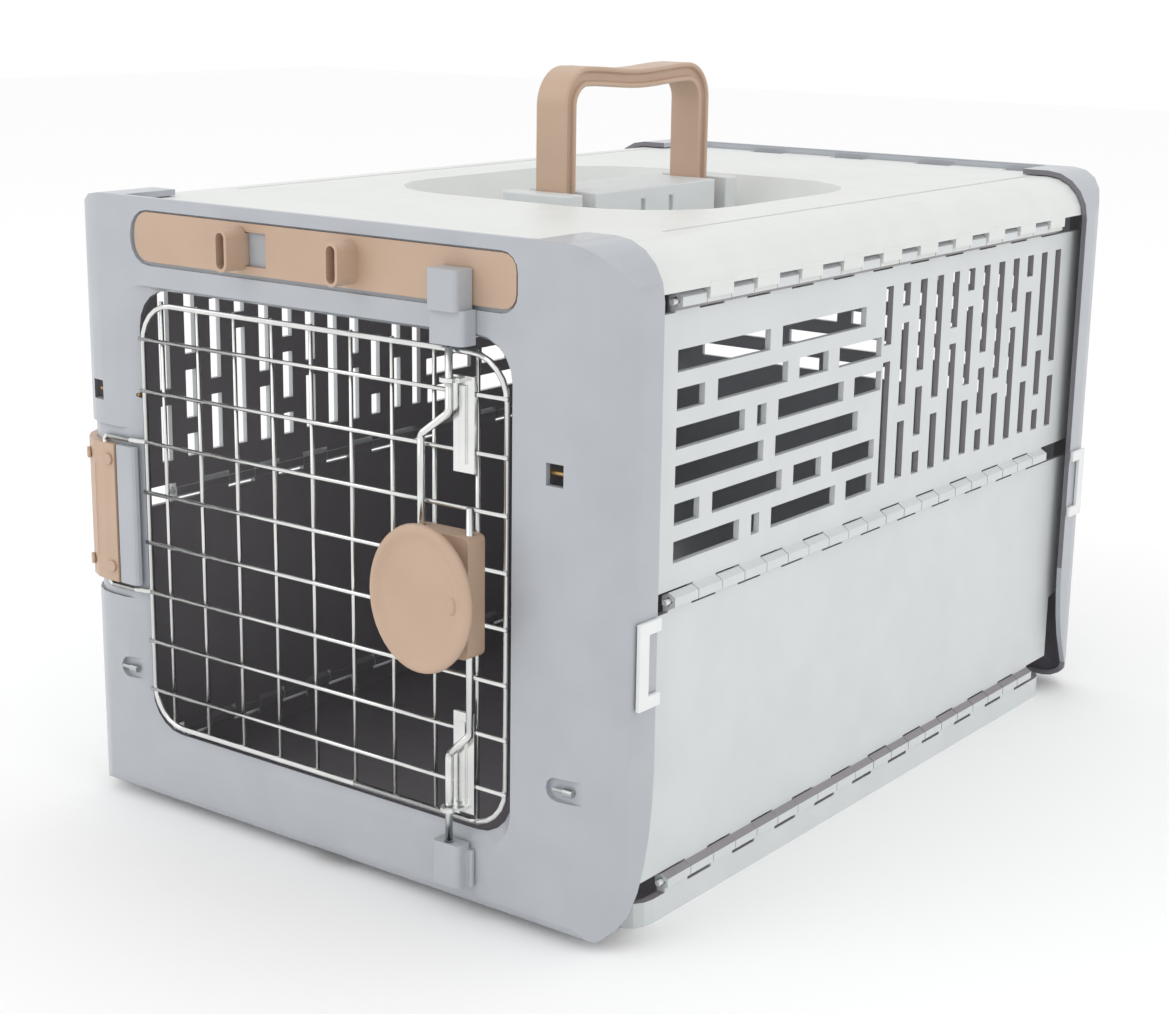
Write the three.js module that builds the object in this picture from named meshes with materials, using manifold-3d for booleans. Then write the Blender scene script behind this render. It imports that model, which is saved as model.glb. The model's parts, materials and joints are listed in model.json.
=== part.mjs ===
// Folding pet carrier: two hinged end shells, a fold-in side wall on each side, a roof that sinks
// straight down as the walls fold, and a wire door with a turn-knob latch. Millimetres, +Z up.
// Origin: centre of the footprint, on the ground. The door end faces -Y.
import * as THREE from 'three';
import { mergeVertices } from 'three/addons/utils/BufferGeometryUtils.js';
import Module from 'manifold-3d';

// ---------------------------------------------------------------- driving sizes
const WIDTH = 340;             // outside of the end shells, X
const LENGTH = 500;            // face of the front shell to face of the rear shell, Y
const HEIGHT = 316;            // top of the end shells, Z
const WALL = 3;                // moulded wall
const EDGE_R = 25;             // vertical edge of an end shell
const TOP_R = 26;              // upper corners of an end shell
const FOOT_R = 18;             // lower corners of an end shell
const FLANGE = 36;             // how far a shell wraps along the sides
const SHELL_LIFT = 3;          // shell clears the ground
const TOE_R = 13;              // rounding under the shell's face
const RIM = 6;                 // thickness of the shell's top rim and of the door surround
const HALF_W = WIDTH / 2;
const WRAP_X = HALF_W - 42;    // outside this X the shell also wraps over the roof

// folding sides
const HINGE_INSET = 9;         // hinge axes in from the outside of the shells
const HINGE_X = HALF_W - HINGE_INSET;
const BASE_AXIS_Z = 17;        // lowest hinge line
const EAVE_DROP = 29;          // top hinge line below the top of the shells
const SIDE_SPAN = (HEIGHT - EAVE_DROP - BASE_AXIS_Z) / 2;  // between neighbouring hinge lines
const MID_AXIS_Z = BASE_AXIS_Z + SIDE_SPAN;
const TOP_AXIS_Z = MID_AXIS_Z + SIDE_SPAN;
const BARREL_R = 4.2;
const PIN_R = 1.5;
const PIN_PLAY = 0.13;
const BORE_R = (PIN_R + PIN_PLAY) * Math.SQRT2;  // square bore, to its corners
const KNUCKLES = 20;           // per hinge line, shared by the two leaves
const KNUCKLE_GAP = 0.5;
const HINGE_HALF = LENGTH / 2 - 57;        // half length of a hinge line
const LEAF_REACH = 5;          // leaf edge to hinge axis
const PANEL_HALF = LENGTH / 2 - 16;        // half length of a side leaf
const RELIEF_Y = 16;           // lower leaf's end corners are cut off, so that the toe of a tilted
const RELIEF_Z = 42;           // end shell can pass the folded leaf
const FLOOR_HALF_X = HINGE_X + 2;
const FLOOR_HALF_Y = LENGTH / 2 - 34;
const FLOOR_WALL_Z = 12;

// vents in the upper leaf
const VENT_BAR = 10.5;         // bar between two slots in a row
const ROW_PITCH = 17.3;
const SLOT_H = 10;
const ROW_TOP = TOP_AXIS_Z - 26.6;
const ROW_START = 60 - LENGTH / 2;
const COLUMN_PITCH = 18.1;
const COLUMN_START = ROW_START + 185;
const COLUMN_W = 7.4;
const COLUMN_TOP = TOP_AXIS_Z - 14;
const VENT_LOW = MID_AXIS_Z + LEAF_REACH + 7;  // no slot reaches lower
const VENT_FAR = PANEL_HALF - 32;              // no slot reaches further back
const COLUMN_BAR = 8.6;
const ROW_SLOTS = [[76, 79], [22, 60, 27, 42], [56, 8, 61, 27], [73, 78], [20, 60, 26, 42], [54, 7, 60, 26]];
const COLUMN_SLOTS = [[30, 64], [12, 43, 30], [48, 26, 12], [65, 30]];
const COLUMNS = Math.floor((VENT_FAR - COLUMN_START - COLUMN_W) / COLUMN_PITCH) + 1;

// vents in the rear shell
const REAR_ROWS = 5;
const REAR_PITCH = 16.8;
const REAR_SLOT_H = 8.2;
const REAR_TOP = HEIGHT - 68;
const REAR_HALF = HALF_W - 55;
const REAR_BARS = [[-54, 30], [-12, 74], [-78, 6], [-34, 52], [-62, 18]];  // middles of the bars in a row

// shell pivots, on the centre line at each end
const PIVOT_Y = LENGTH / 2 - TOE_R;
const PIVOT_Z = 22;
const EAR_R = 5;
const PIVOT_R = 2;
const PIVOT_HOLE_R = PIVOT_R + 0.4;
const EAR_HALF = 10;           // half width of the floor's ear
const SHELL_EAR = 9;           // width of a shell ear

// catch pins, seen through small windows
const CATCH_Z = HEIGHT - 99;
const CATCH_R = 1.3;
const CATCH_Y = 1.5 - LENGTH / 2 + WALL;
const LOW_SCREW_R = 1.1;
const LOW_SCREWS = [[HALF_W - 23, 75.5], [37 - HALF_W, 73.5]];  // right, left

// door
const OPEN_L = 48.5 - HALF_W;
const OPEN_R = HALF_W - 55;
const OPEN_B = 43;
const OPEN_T = HEIGHT - 45;
const OPEN_CORNER = 20;
const BEVEL_SIDE = 13.5;       // bevel on the hinge side of the opening
const BEVEL_FOOT = 8;
const BEVEL_LESS = 2;          // bevel on the other two sides
const BEVEL_DEPTH = 4;
const WIRES_UP = 9;
const WIRES_ACROSS = 8;
const EDGE_LEFT = 13;          // frame to the nearest parallel wire, on each side
const EDGE_RIGHT = 17;
const EDGE_TOP = 18;
const EDGE_FOOT = 17.5;
const WIRE_R = 1.05;
const FRAME_R = 1.4;
const FRAME_L = OPEN_L + 3.7;
const FRAME_RIGHT = OPEN_R - 2.8;
const FRAME_T = OPEN_T - 7;
const FRAME_B = OPEN_B + 4.2;
const FIRST_X = FRAME_L + EDGE_LEFT;  // first upright wire
const FIRST_Z = FRAME_T - EDGE_TOP;   // top cross wire
const MESH_X = (FRAME_RIGHT - EDGE_RIGHT - FIRST_X) / (WIRES_UP - 1);
const MESH_Z = (FIRST_Z - EDGE_FOOT - FRAME_B) / (WIRES_ACROSS - 1);
const FRAME_CORNER = 20;
const FACE_Y = -LENGTH / 2;
const CROSS_Y = FACE_Y + 1.8;  // cross wires, in front
const UPRIGHT_Y = CROSS_Y + 1.6;
const DOOR_X = 24 - HALF_W;    // door pivot rod
const DOOR_Y = FACE_Y;
const LOOP_TOP = 2;            // cross wires that run on to the pivot rod, counted from 0
const LOOP_BOTTOM = 5;
const ROD_R = 1.3;

// latch
const KNOB_X = OPEN_R - 31;
const KNOB_Z = (OPEN_B + OPEN_T) / 2;
const CRANK = 14;              // rod offset either side of the knob
const TIP_X = OPEN_R - 29;     // both rod tips
const ROD_Y = FACE_Y - 5.5;
const LATCH_ROD_R = 1.75;
const TIP_GAP = 0.8;           // rod tip to the mouth of its keeper
const KEEPER_MOUTH_T = OPEN_T - 3;
const KEEPER_MOUTH_B = OPEN_B - 5;
const BOX_HALF = 18;
const BOX_HALF_Z = 28;
const BOX_FRONT = FACE_Y - 11.5;
const BOX_BACK = FACE_Y + 0.2;
const GUIDE_ABOVE = 26;        // upper guide above the latch box
const GUIDE_BELOW = 29;        // lower guide below it
const GUIDE_END = 17;          // upper guide below the top of the opening
const GUIDE_FOOT = 9;          // lower guide above the bottom of the opening

// latch bars and grips
const BAR_HALF = HALF_W - 51.5;
const BAR_B = HEIGHT - 31;
const BAR_T = HEIGHT - 7;
const GRIP_X = [-45.7, 23.9];  // the sliding grip, then the fixed one
const GRIP_TRAVEL = 12;

// clips on the flanges
const CLIP_B = 112;
const CLIP_TOP = 152;
const CLIP_ARM = 6;
const CLIP_T = 2.2;

// hinge plate of the door, and its screws
const PLATE_B = FIRST_Z - MESH_Z * LOOP_BOTTOM + 2.5;
const PLATE_T = FIRST_Z - MESH_Z * LOOP_TOP - 3.2;
const SCREW_IN = 8;            // screws in from the plate's ends
const SCREW_X = [10 - HALF_W, 29 - HALF_W];
const SCREW_HOLE_R = 1.5;
const PLATE_PROUD = 2.6;       // plate stands this far outside the shell

// roof and handle
const ROOF_INSET = WALL + 0.6; // roof lies this far inside the outline of the shells
const ROOF_END = LENGTH / 2 - RIM - 0.5;
const ROOF_T = 2.8;
const RECESS_X = 100;
const RECESS_Y = 102;
const RECESS_SLOPE = 12;
const RECESS_FLOOR = HEIGHT - 29;
const HANDLE_Y = -8;           // middle of the handle
const HANDLE_HALF = 66;
const HANDLE_PIVOT_Z = RECESS_FLOOR + 13;
const BLOCK_TOP = RECESS_FLOOR + 27;
const HANDLE_RISE = 77;
const BAND_X = 19;             // width of the handle band
const BAND_T = 10;             // thickness of the handle band
const HANDLE_PIN_R = 2.5;
const HANDLE_HOLE_R = HANDLE_PIN_R + 0.4;
const NOTCH_PITCH = 60;        // notches along the roof's end edges
const NOTCH_HALF = 12;
const NOTCH_LIMIT = HALF_W - 34;

const BLUE_GREY = '#b9c0c9';
const PALE_GREY = '#d3d9d6';
const ROOF_GREY = '#e0e3e2';
const BEIGE = '#d3b197';
const DARK_BEIGE = '#c9a78d';
const CHROME = '#c9ccc8';
const STEEL = '#8f9394';
const BRASS = '#8a6a3c';
const WHITE = '#e6e9e9';

// ---------------------------------------------------------------- solids
const wasm = await Module();
wasm.setup();

function solid(geometry) {
  const g = geometry.clone();
  g.deleteAttribute('normal');
  g.deleteAttribute('uv');
  const merged = mergeVertices(g, 1e-4);
  return new wasm.Manifold(new wasm.Mesh({
    numProp: 3,
    vertProperties: new Float32Array(merged.attributes.position.array),
    triVerts: new Uint32Array(merged.index.array),
  }));
}

function toGeometry(body) {
  const mesh = body.getMesh();
  const g = new THREE.BufferGeometry();
  g.setAttribute('position', new THREE.BufferAttribute(new Float32Array(mesh.vertProperties), 3));
  g.setIndex(new THREE.BufferAttribute(new Uint32Array(mesh.triVerts), 1));
  const flat = g.toNonIndexed();
  flat.computeVertexNormals();
  return flat;
}

// a closed outline of [u, v] points pushed from a to b along one axis: (u, v) is (y, z) for x,
// (x, z) for y and (x, y) for z
function prism(axis, outline, a, b) {
  const shape = new THREE.Shape(outline.map(([u, v]) => new THREE.Vector2(u, v)));
  const g = new THREE.ExtrudeGeometry(shape, { depth: b - a, bevelEnabled: false });
  const place = new THREE.Matrix4();
  if (axis === 'x') place.set(0, 0, 1, a, 1, 0, 0, 0, 0, 1, 0, 0, 0, 0, 0, 1);
  if (axis === 'y') place.set(1, 0, 0, 0, 0, 0, -1, b, 0, 1, 0, 0, 0, 0, 0, 1);
  if (axis === 'z') place.makeTranslation(0, 0, a);
  g.applyMatrix4(place);
  return solid(g);
}

function box(x0, x1, y0, y1, z0, z1) {
  const g = new THREE.BoxGeometry(x1 - x0, y1 - y0, z1 - z0);
  g.translate((x0 + x1) / 2, (y0 + y1) / 2, (z0 + z1) / 2);
  return solid(g);
}

function circle(u, v, r, seg, turn = 0) {
  return Array.from({ length: seg }, (_, i) => {
    const a = turn + (i / seg) * Math.PI * 2;
    return [u + r * Math.cos(a), v + r * Math.sin(a)];
  });
}

// rectangle with its own radius at each corner: low-low, high-low, high-high, low-high
function rounded(u0, u1, v0, v1, radii, seg = 5) {
  const [a, b, c, d] = Array.isArray(radii) ? radii : [radii, radii, radii, radii];
  const corners = [[u0 + a, v0 + a, a, 2], [u1 - b, v0 + b, b, 3], [u1 - c, v1 - c, c, 0],
    [u0 + d, v1 - d, d, 1]];
  const points = [];
  for (const [cu, cv, r, quarter] of corners) {
    const steps = r > 0 ? seg : 0;
    for (let i = 0; i <= steps; i += 1) {
      const angle = (quarter + (steps ? i / steps : 0)) * Math.PI / 2;
      points.push([cu + r * Math.cos(angle), cv + r * Math.sin(angle)]);
    }
  }
  return points;
}

const cylinder = (axis, u, v, r, a, b, seg = 12) => prism(axis, circle(u, v, r, seg, Math.PI / seg), a, b);

// two outlines with the same number of points, joined by sloping sides
function loft(axis, low, a, high, b) {
  const place = axis === 'y' ? ([u, v], t) => [u, t, v] : ([u, v], t) => [u, v, t];
  const ring = [...low.map((p) => place(p, a)), ...high.map((p) => place(p, b))];
  const n = low.length;
  const tris = [];
  const cap = THREE.ShapeUtils.triangulateShape(low.map(([u, v]) => new THREE.Vector2(u, v)), []);
  for (const [p, q, r] of cap) {
    tris.push(p, r, q);
    tris.push(n + p, n + q, n + r);
  }
  for (let i = 0; i < n; i += 1) {
    const j = (i + 1) % n;
    tris.push(i, j, n + j, i, n + j, n + i);
  }
  if (axis === 'y') tris.reverse();
  const g = new THREE.BufferGeometry();
  g.setAttribute('position', new THREE.BufferAttribute(new Float32Array(ring.flat()), 3));
  g.setIndex(tris);
  return solid(g);
}

function union(bodies) {
  return bodies.reduce((all, body) => all.add(body));
}

// round wire through a list of points, with a ball in every bend
function wire(points, r, seg = 6) {
  const bodies = [];
  const path = points.map((p) => new THREE.Vector3(...p));
  for (let i = 0; i + 1 < path.length; i += 1) {
    const run = path[i + 1].clone().sub(path[i]);
    const g = new THREE.CylinderGeometry(r, r, run.length(), seg);
    const direction = run.clone().normalize();
    g.applyQuaternion(new THREE.Quaternion().setFromUnitVectors(new THREE.Vector3(0, 1, 0), direction));
    const middle = path[i].clone().add(path[i + 1]).multiplyScalar(0.5);
    g.translate(middle.x, middle.y, middle.z);
    bodies.push(solid(g));
    if (i > 0) bodies.push(ball(path[i], r, seg));
  }
  return union(bodies);
}

function ball(at, r, seg = 6) {
  const g = new THREE.SphereGeometry(r * 1.04, seg, 4);
  g.translate(at.x, at.y, at.z);
  return solid(g);
}

const part = new THREE.Group();
part.name = 'folding_pet_carrier';

function addNode(name, body, color, roughness = 0.5, metalness = 0) {
  const finish = new THREE.MeshStandardMaterial({ color, roughness, metalness });
  const mesh = new THREE.Mesh(toGeometry(body), finish);
  mesh.name = name;
  part.add(mesh);
}

// half a turn about Z, so one design serves both ends or both sides
const HALF_TURN = new THREE.Matrix4().makeRotationZ(Math.PI);
const turned = (body) => solid(toGeometry(body).applyMatrix4(HALF_TURN));

// ---------------------------------------------------------------- end shells
// the outside of a shell, or a copy of it moved in by inset; open copies run past the back edge
function cap(inset, open = false) {
  const back = FACE_Y + FLANGE + (open ? 8 : 0);
  const plan = prism('z', rounded(-HALF_W + inset, HALF_W - inset, FACE_Y + inset, back,
    [EDGE_R - inset, EDGE_R - inset, 0, 0]), -5, HEIGHT + 5);
  const front = prism('y', rounded(-HALF_W + inset, HALF_W - inset, SHELL_LIFT + inset, HEIGHT - inset,
    [FOOT_R - inset, FOOT_R - inset, TOP_R - inset, TOP_R - inset]), FACE_Y - 5, back + 5);
  const toe = [];
  for (let i = 0; i <= 4; i += 1) {
    const angle = Math.PI * (1 + i / 8);
    const r = TOE_R - inset;
    toe.push([-PIVOT_Y + r * Math.cos(angle), SHELL_LIFT + TOE_R + r * Math.sin(angle)]);
  }
  const side = [[FACE_Y + inset, HEIGHT + 5], ...toe];
  if (open) {
    side.push([back, SHELL_LIFT + inset]);
  } else {
    const sweep = new THREE.QuadraticBezierCurve(new THREE.Vector2(-PIVOT_Y, SHELL_LIFT + 6),
      new THREE.Vector2(back - 1, 28), new THREE.Vector2(back, 80));
    sweep.getPoints(6).forEach((p) => side.push([p.x, p.y]));
  }
  side.push([back, HEIGHT + 5]);
  return plan.intersect(front).intersect(prism('x', side, -HALF_W - 5, HALF_W + 5));
}

function plainShell() {
  const outer = cap(0);
  let shell = outer.subtract(cap(WALL, true));
  // between the wraps only a rim stands in front of the roof
  shell = shell.subtract(box(-WRAP_X, WRAP_X, FACE_Y + WALL, 0, HEIGHT - 20, HEIGHT + 5));
  shell = shell.add(box(-WRAP_X - 1, WRAP_X + 1, FACE_Y + 1, FACE_Y + RIM, HEIGHT - 8, HEIGHT - 1));
  // pivot ears, and room for the floor's ear to pass through the toe
  const arm = [[FACE_Y + 2, PIVOT_Z - EAR_R], [-PIVOT_Y, PIVOT_Z - EAR_R], [-PIVOT_Y, PIVOT_Z + EAR_R],
    [FACE_Y + 2, PIVOT_Z + EAR_R]];
  for (const side of [-1, 1]) {
    const a = side * (EAR_HALF + KNUCKLE_GAP);
    const b = a + side * SHELL_EAR;
    const span = [Math.min(a, b), Math.max(a, b)];
    shell = shell.add(prism('x', arm, ...span)).add(cylinder('x', -PIVOT_Y, PIVOT_Z, EAR_R, ...span));
    shell = shell.subtract(cylinder('x', -PIVOT_Y, PIVOT_Z, PIVOT_HOLE_R, span[0] - 1, span[1] + 1, 8));
  }
  shell = shell.subtract(box(-EAR_HALF - 1, EAR_HALF + 1, FACE_Y + 4, FACE_Y + 50, 0, 14));
  // pocket that takes the latch bar
  shell = shell.subtract(prism('y', rounded(-BAR_HALF - 3, BAR_HALF + 1, BAR_B - 2, BAR_T + 1,
    [12, 9, 9, 12], 4), FACE_Y - 5, FACE_Y + 2.2));
  return shell.add(prism('y', rounded(-BAR_HALF - 5, BAR_HALF + 3, BAR_B - 4, BAR_T + 2, 12, 4),
    FACE_Y + 2.2, FACE_Y + 5).intersect(outer));
}

function frontShell() {
  let shell = plainShell();
  // thick surround, then the bevelled opening
  shell = shell.add(prism('y', rounded(OPEN_L - BEVEL_SIDE - 3, OPEN_R + RIM, OPEN_B - BEVEL_FOOT - 3,
    OPEN_T + RIM, OPEN_CORNER + RIM), FACE_Y + 1, FACE_Y + RIM));
  const inner = rounded(OPEN_L, OPEN_R, OPEN_B, OPEN_T, OPEN_CORNER);
  const outer = rounded(OPEN_L - BEVEL_SIDE, OPEN_R + BEVEL_LESS, OPEN_B - BEVEL_FOOT, OPEN_T + BEVEL_LESS,
    [OPEN_CORNER + 7, OPEN_CORNER + 2, OPEN_CORNER, OPEN_CORNER]);
  shell = shell.subtract(loft('y', outer, FACE_Y - 0.01, inner, FACE_Y + BEVEL_DEPTH));
  shell = shell.subtract(prism('y', inner, FACE_Y + BEVEL_DEPTH - 0.5, FACE_Y + 10));
  // seat for the door hinge, wrapped round the left edge
  const seat = box(-HALF_W - 5, OPEN_L - 1, FACE_Y - 5, FACE_Y + 22, PLATE_B - 8, PLATE_T + 9);
  shell = shell.subtract(cap(-2).subtract(cap(1.6, true)).intersect(seat));
  // windows over the catch pins
  shell = shell.subtract(box(HALF_W - 34.6, HALF_W - 25.2, FACE_Y - 1, FACE_Y + 4, CATCH_Z - 5, CATCH_Z + 5));
  shell = shell.subtract(box(15 - HALF_W, 24 - HALF_W, FACE_Y - 1, FACE_Y + 6, CATCH_Z - 5, CATCH_Z + 5));
  shell = shell.add(box(HALF_W - 22, HALF_W - 18, FACE_Y + 2, FACE_Y + RIM, CATCH_Z - 5, CATCH_Z + 5));
  for (const [from, to] of [[OPEN_R - 3, HALF_W - 21], [30 - HALF_W, OPEN_L + 1.5]]) {
    shell = shell.subtract(cylinder('x', CATCH_Y, CATCH_Z, CATCH_R + 0.3, from, to, 8));
  }
  // long seats for the two low screws
  const [[rightX, rightZ], [leftX, leftZ]] = LOW_SCREWS;
  shell = shell.subtract(prism('y', rounded(rightX - 10, rightX + 14, rightZ - 5.5, rightZ + 5.5, 5.4, 3),
    FACE_Y - 1, FACE_Y + 2.4));
  return shell.subtract(prism('y', rounded(leftX - 7, leftX + 11, leftZ - 5.5, leftZ + 5.5, 5.4, 3),
    FACE_Y - 1, FACE_Y + 2.4));
}

// the rear shell's vents are rows too, with their bars set off from row to row
function rearShell() {
  let shell = plainShell();
  for (let row = 0; row < REAR_ROWS; row += 1) {
    const top = REAR_TOP - row * REAR_PITCH;
    let from = -REAR_HALF;
    for (const bar of [...REAR_BARS[row % REAR_BARS.length], REAR_HALF + VENT_BAR / 2]) {
      shell = shell.subtract(box(from, bar - VENT_BAR / 2, FACE_Y - 1, FACE_Y + 10, top - REAR_SLOT_H, top));
      from = bar + VENT_BAR / 2;
    }
  }
  return turned(shell);
}

addNode('front_shell', frontShell(), BLUE_GREY, 0.42);
addNode('rear_shell', rearShell(), BLUE_GREY, 0.42);

// ---------------------------------------------------------------- floor
const STEP = (2 * HINGE_HALF) / KNUCKLES;

// the knuckles of one leaf, on the +X side: first is 0 or 1, tab is the outline that joins them
function knuckles(axisZ, first, tab) {
  const bodies = [];
  for (let i = first; i < KNUCKLES; i += 2) {
    const a = -HINGE_HALF + i * STEP + KNUCKLE_GAP / 2;
    const b = a + STEP - KNUCKLE_GAP;
    const barrel = cylinder('y', HINGE_X, axisZ, BARREL_R, a, b, 6);
    bodies.push(barrel.add(prism('y', tab, a, b)));
  }
  return union(bodies);
}

const bored = (body, axisZ) => body.subtract(
  prism('y', circle(HINGE_X, axisZ, BORE_R, 4), -HINGE_HALF - 1, HINGE_HALF + 1));

function floor() {
  let tray = prism('z', rounded(-FLOOR_HALF_X, FLOOR_HALF_X, -FLOOR_HALF_Y, FLOOR_HALF_Y, 14, 4),
    0, FLOOR_WALL_Z);
  tray = tray.subtract(prism('z', rounded(-FLOOR_HALF_X + WALL + 1, FLOOR_HALF_X - WALL - 1,
    -FLOOR_HALF_Y + WALL, FLOOR_HALF_Y - WALL, 11, 4), WALL, FLOOR_WALL_Z + 1));
  const tab = [[HINGE_X - 2.5, FLOOR_WALL_Z - 2], [HINGE_X + 2, FLOOR_WALL_Z - 2], [HINGE_X + 2, BASE_AXIS_Z],
    [HINGE_X - 2.5, BASE_AXIS_Z]];
  const right = bored(knuckles(BASE_AXIS_Z, 0, tab), BASE_AXIS_Z);
  tray = tray.add(right).add(turned(bored(knuckles(BASE_AXIS_Z, 0, tab), BASE_AXIS_Z)));
  const ear = [[-PIVOT_Y, PIVOT_Z - EAR_R], [-FLOOR_HALF_Y + 1, PIVOT_Z - EAR_R], [-FLOOR_HALF_Y + 1, 1],
    [-FLOOR_HALF_Y + WALL + 2, 1], [-FLOOR_HALF_Y + WALL + 2, PIVOT_Z + EAR_R], [-PIVOT_Y, PIVOT_Z + EAR_R]];
  const arm = prism('x', ear, -EAR_HALF, EAR_HALF)
    .add(cylinder('x', -PIVOT_Y, PIVOT_Z, EAR_R, -EAR_HALF, EAR_HALF))
    .subtract(cylinder('x', -PIVOT_Y, PIVOT_Z, PIVOT_HOLE_R, -EAR_HALF - 1, EAR_HALF + 1, 8));
  return tray.add(arm).add(turned(arm));
}

addNode('floor_tray', floor(), PALE_GREY, 0.5);
const pivotPin = cylinder('x', -PIVOT_Y, PIVOT_Z, PIVOT_R, -EAR_HALF - SHELL_EAR, EAR_HALF + SHELL_EAR, 8);
addNode('front_pivot_pin', pivotPin, STEEL, 0.3, 0.9);
addNode('rear_pivot_pin', turned(pivotPin), STEEL, 0.3, 0.9);

// ---------------------------------------------------------------- side leaves
const LEAF_IN = HINGE_X - WALL;

function leafTab(axisZ, up) {
  const far = axisZ + (up ? 1 : -1) * (LEAF_REACH + 1);
  const low = Math.min(axisZ, far);
  const high = Math.max(axisZ, far);
  return [[LEAF_IN, low], [HINGE_X, low], [HINGE_X, high], [LEAF_IN, high]];
}

function leaf(lowAxis, highAxis, lowFirst, highFirst) {
  let body = box(LEAF_IN, HINGE_X, -PANEL_HALF, PANEL_HALF, lowAxis + LEAF_REACH, highAxis - LEAF_REACH);
  body = body.add(knuckles(lowAxis, lowFirst, leafTab(lowAxis, true)));
  body = body.add(knuckles(highAxis, highFirst, leafTab(highAxis, false)));
  return bored(bored(body, lowAxis), highAxis);
}

function vents() {
  const slots = [];
  ROW_SLOTS.forEach((row, i) => {
    let y = ROW_START;
    const z = ROW_TOP - i * ROW_PITCH;
    if (z - SLOT_H / 2 < VENT_LOW) return;
    for (const length of row) {
      slots.push(box(LEAF_IN - 1, HINGE_X + 1, y, y + length, z - SLOT_H / 2, z + SLOT_H / 2));
      y += length + VENT_BAR;
    }
  });
  for (let i = 0; i < COLUMNS; i += 1) {
    const y = COLUMN_START + i * COLUMN_PITCH;
    let z = COLUMN_TOP;
    for (const height of COLUMN_SLOTS[i % COLUMN_SLOTS.length]) {
      const low = Math.max(z - height, VENT_LOW);
      if (z - low > COLUMN_W) slots.push(box(LEAF_IN - 1, HINGE_X + 1, y, y + COLUMN_W, low, z));
      z -= height + COLUMN_BAR;
    }
  }
  return union(slots);
}

function cornerRelief(end) {
  const low = BASE_AXIS_Z + LEAF_REACH - 1;
  const inner = end * (PANEL_HALF - RELIEF_Y);
  const edge = end * (PANEL_HALF + 1);
  return prism('x', [[inner, low], [edge, low], [edge, low + RELIEF_Z], [inner, low + RELIEF_Z - 4]],
    LEAF_IN - 1, HINGE_X + 1);
}

const lowerLeaf = leaf(BASE_AXIS_Z, MID_AXIS_Z, 1, 0).subtract(cornerRelief(1)).subtract(cornerRelief(-1));
const upperLeaf = leaf(MID_AXIS_Z, TOP_AXIS_Z, 1, 0).subtract(vents());
addNode('lower_side_right', lowerLeaf, PALE_GREY, 0.45);
addNode('upper_side_right', upperLeaf, PALE_GREY, 0.45);
addNode('lower_side_left', turned(lowerLeaf), PALE_GREY, 0.45);
addNode('upper_side_left', turned(upperLeaf), PALE_GREY, 0.45);

for (const [level, z] of [['base', BASE_AXIS_Z], ['mid', MID_AXIS_Z], ['top', TOP_AXIS_Z]]) {
  const pin = cylinder('y', HINGE_X, z, PIN_R, -HINGE_HALF - 3, HINGE_HALF + 3, 8);
  addNode(`${level}_hinge_pin_right`, pin, WHITE, 0.4);
  addNode(`${level}_hinge_pin_left`, turned(pin), WHITE, 0.4);
}

// ---------------------------------------------------------------- roof
function roofSkin(inset, lowest) {
  const plan = prism('z', rounded(-HALF_W + inset, HALF_W - inset, FACE_Y + inset, -FACE_Y - inset,
    EDGE_R - inset, 4), lowest, HEIGHT);
  const front = prism('y', rounded(-HALF_W + inset, HALF_W - inset, 0, HEIGHT - inset,
    [0, 0, TOP_R - inset, TOP_R - inset]), -ROOF_END - 2, ROOF_END + 2);
  return plan.intersect(front);
}

function roof() {
  const eave = TOP_AXIS_Z + LEAF_REACH;
  let body = roofSkin(ROOF_INSET, eave).intersect(box(-HALF_W, HALF_W, -ROOF_END, ROOF_END, 0, HEIGHT));
  body = body.subtract(roofSkin(ROOF_INSET + ROOF_T, eave - 2));
  // notches along both end edges
  for (const end of [-1, 1]) {
    const span = end > 0 ? [ROOF_END - 8, ROOF_END] : [-ROOF_END, 8 - ROOF_END];
    for (let i = -4; i <= 4; i += 1) {
      const x = i * NOTCH_PITCH - 4;
      if (Math.abs(x) + NOTCH_HALF > NOTCH_LIMIT) continue;
      body = body.subtract(box(x - NOTCH_HALF, x + NOTCH_HALF, ...span, HEIGHT - 10, HEIGHT));
    }
  }
  // recess for the handle
  const recess = (grow) => {
    const bottom = rounded(-RECESS_X + RECESS_SLOPE - grow, RECESS_X - RECESS_SLOPE + grow,
      HANDLE_Y - RECESS_Y + RECESS_SLOPE - grow, HANDLE_Y + RECESS_Y - RECESS_SLOPE + grow, 45);
    const top = rounded(-RECESS_X - grow, RECESS_X + grow, HANDLE_Y - RECESS_Y - grow,
      HANDLE_Y + RECESS_Y + grow, 57);
    return loft('z', bottom, RECESS_FLOOR - grow, top, HEIGHT - ROOF_INSET + 0.01 * grow);
  };
  const trim = box(-HALF_W, HALF_W, FACE_Y, -FACE_Y, 0, HEIGHT - ROOF_INSET);
  body = body.add(recess(2.5).intersect(trim));
  body = body.subtract(recess(0).add(prism('z', rounded(-RECESS_X, RECESS_X, HANDLE_Y - RECESS_Y,
    HANDLE_Y + RECESS_Y, 57), HEIGHT - ROOF_INSET - 0.02, HEIGHT)));
  // seams along the eaves
  for (const side of [-1, 1]) {
    const x = side * (HALF_W - 36);
    body = body.subtract(box(x - 1.5, x + 1.5, 85 - LENGTH / 2, LENGTH / 2 - 45,
      HEIGHT - ROOF_INSET - 1, HEIGHT));
  }
  const tab = [[HINGE_X + 0.5, TOP_AXIS_Z], [HINGE_X + 5, TOP_AXIS_Z], [HINGE_X + 5, eave + 2],
    [HINGE_X + 0.5, eave + 2]];
  const right = bored(knuckles(TOP_AXIS_Z, 1, tab), TOP_AXIS_Z);
  return body.add(right).add(turned(right));
}

addNode('roof_panel', roof(), ROOF_GREY, 0.5);

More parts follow.
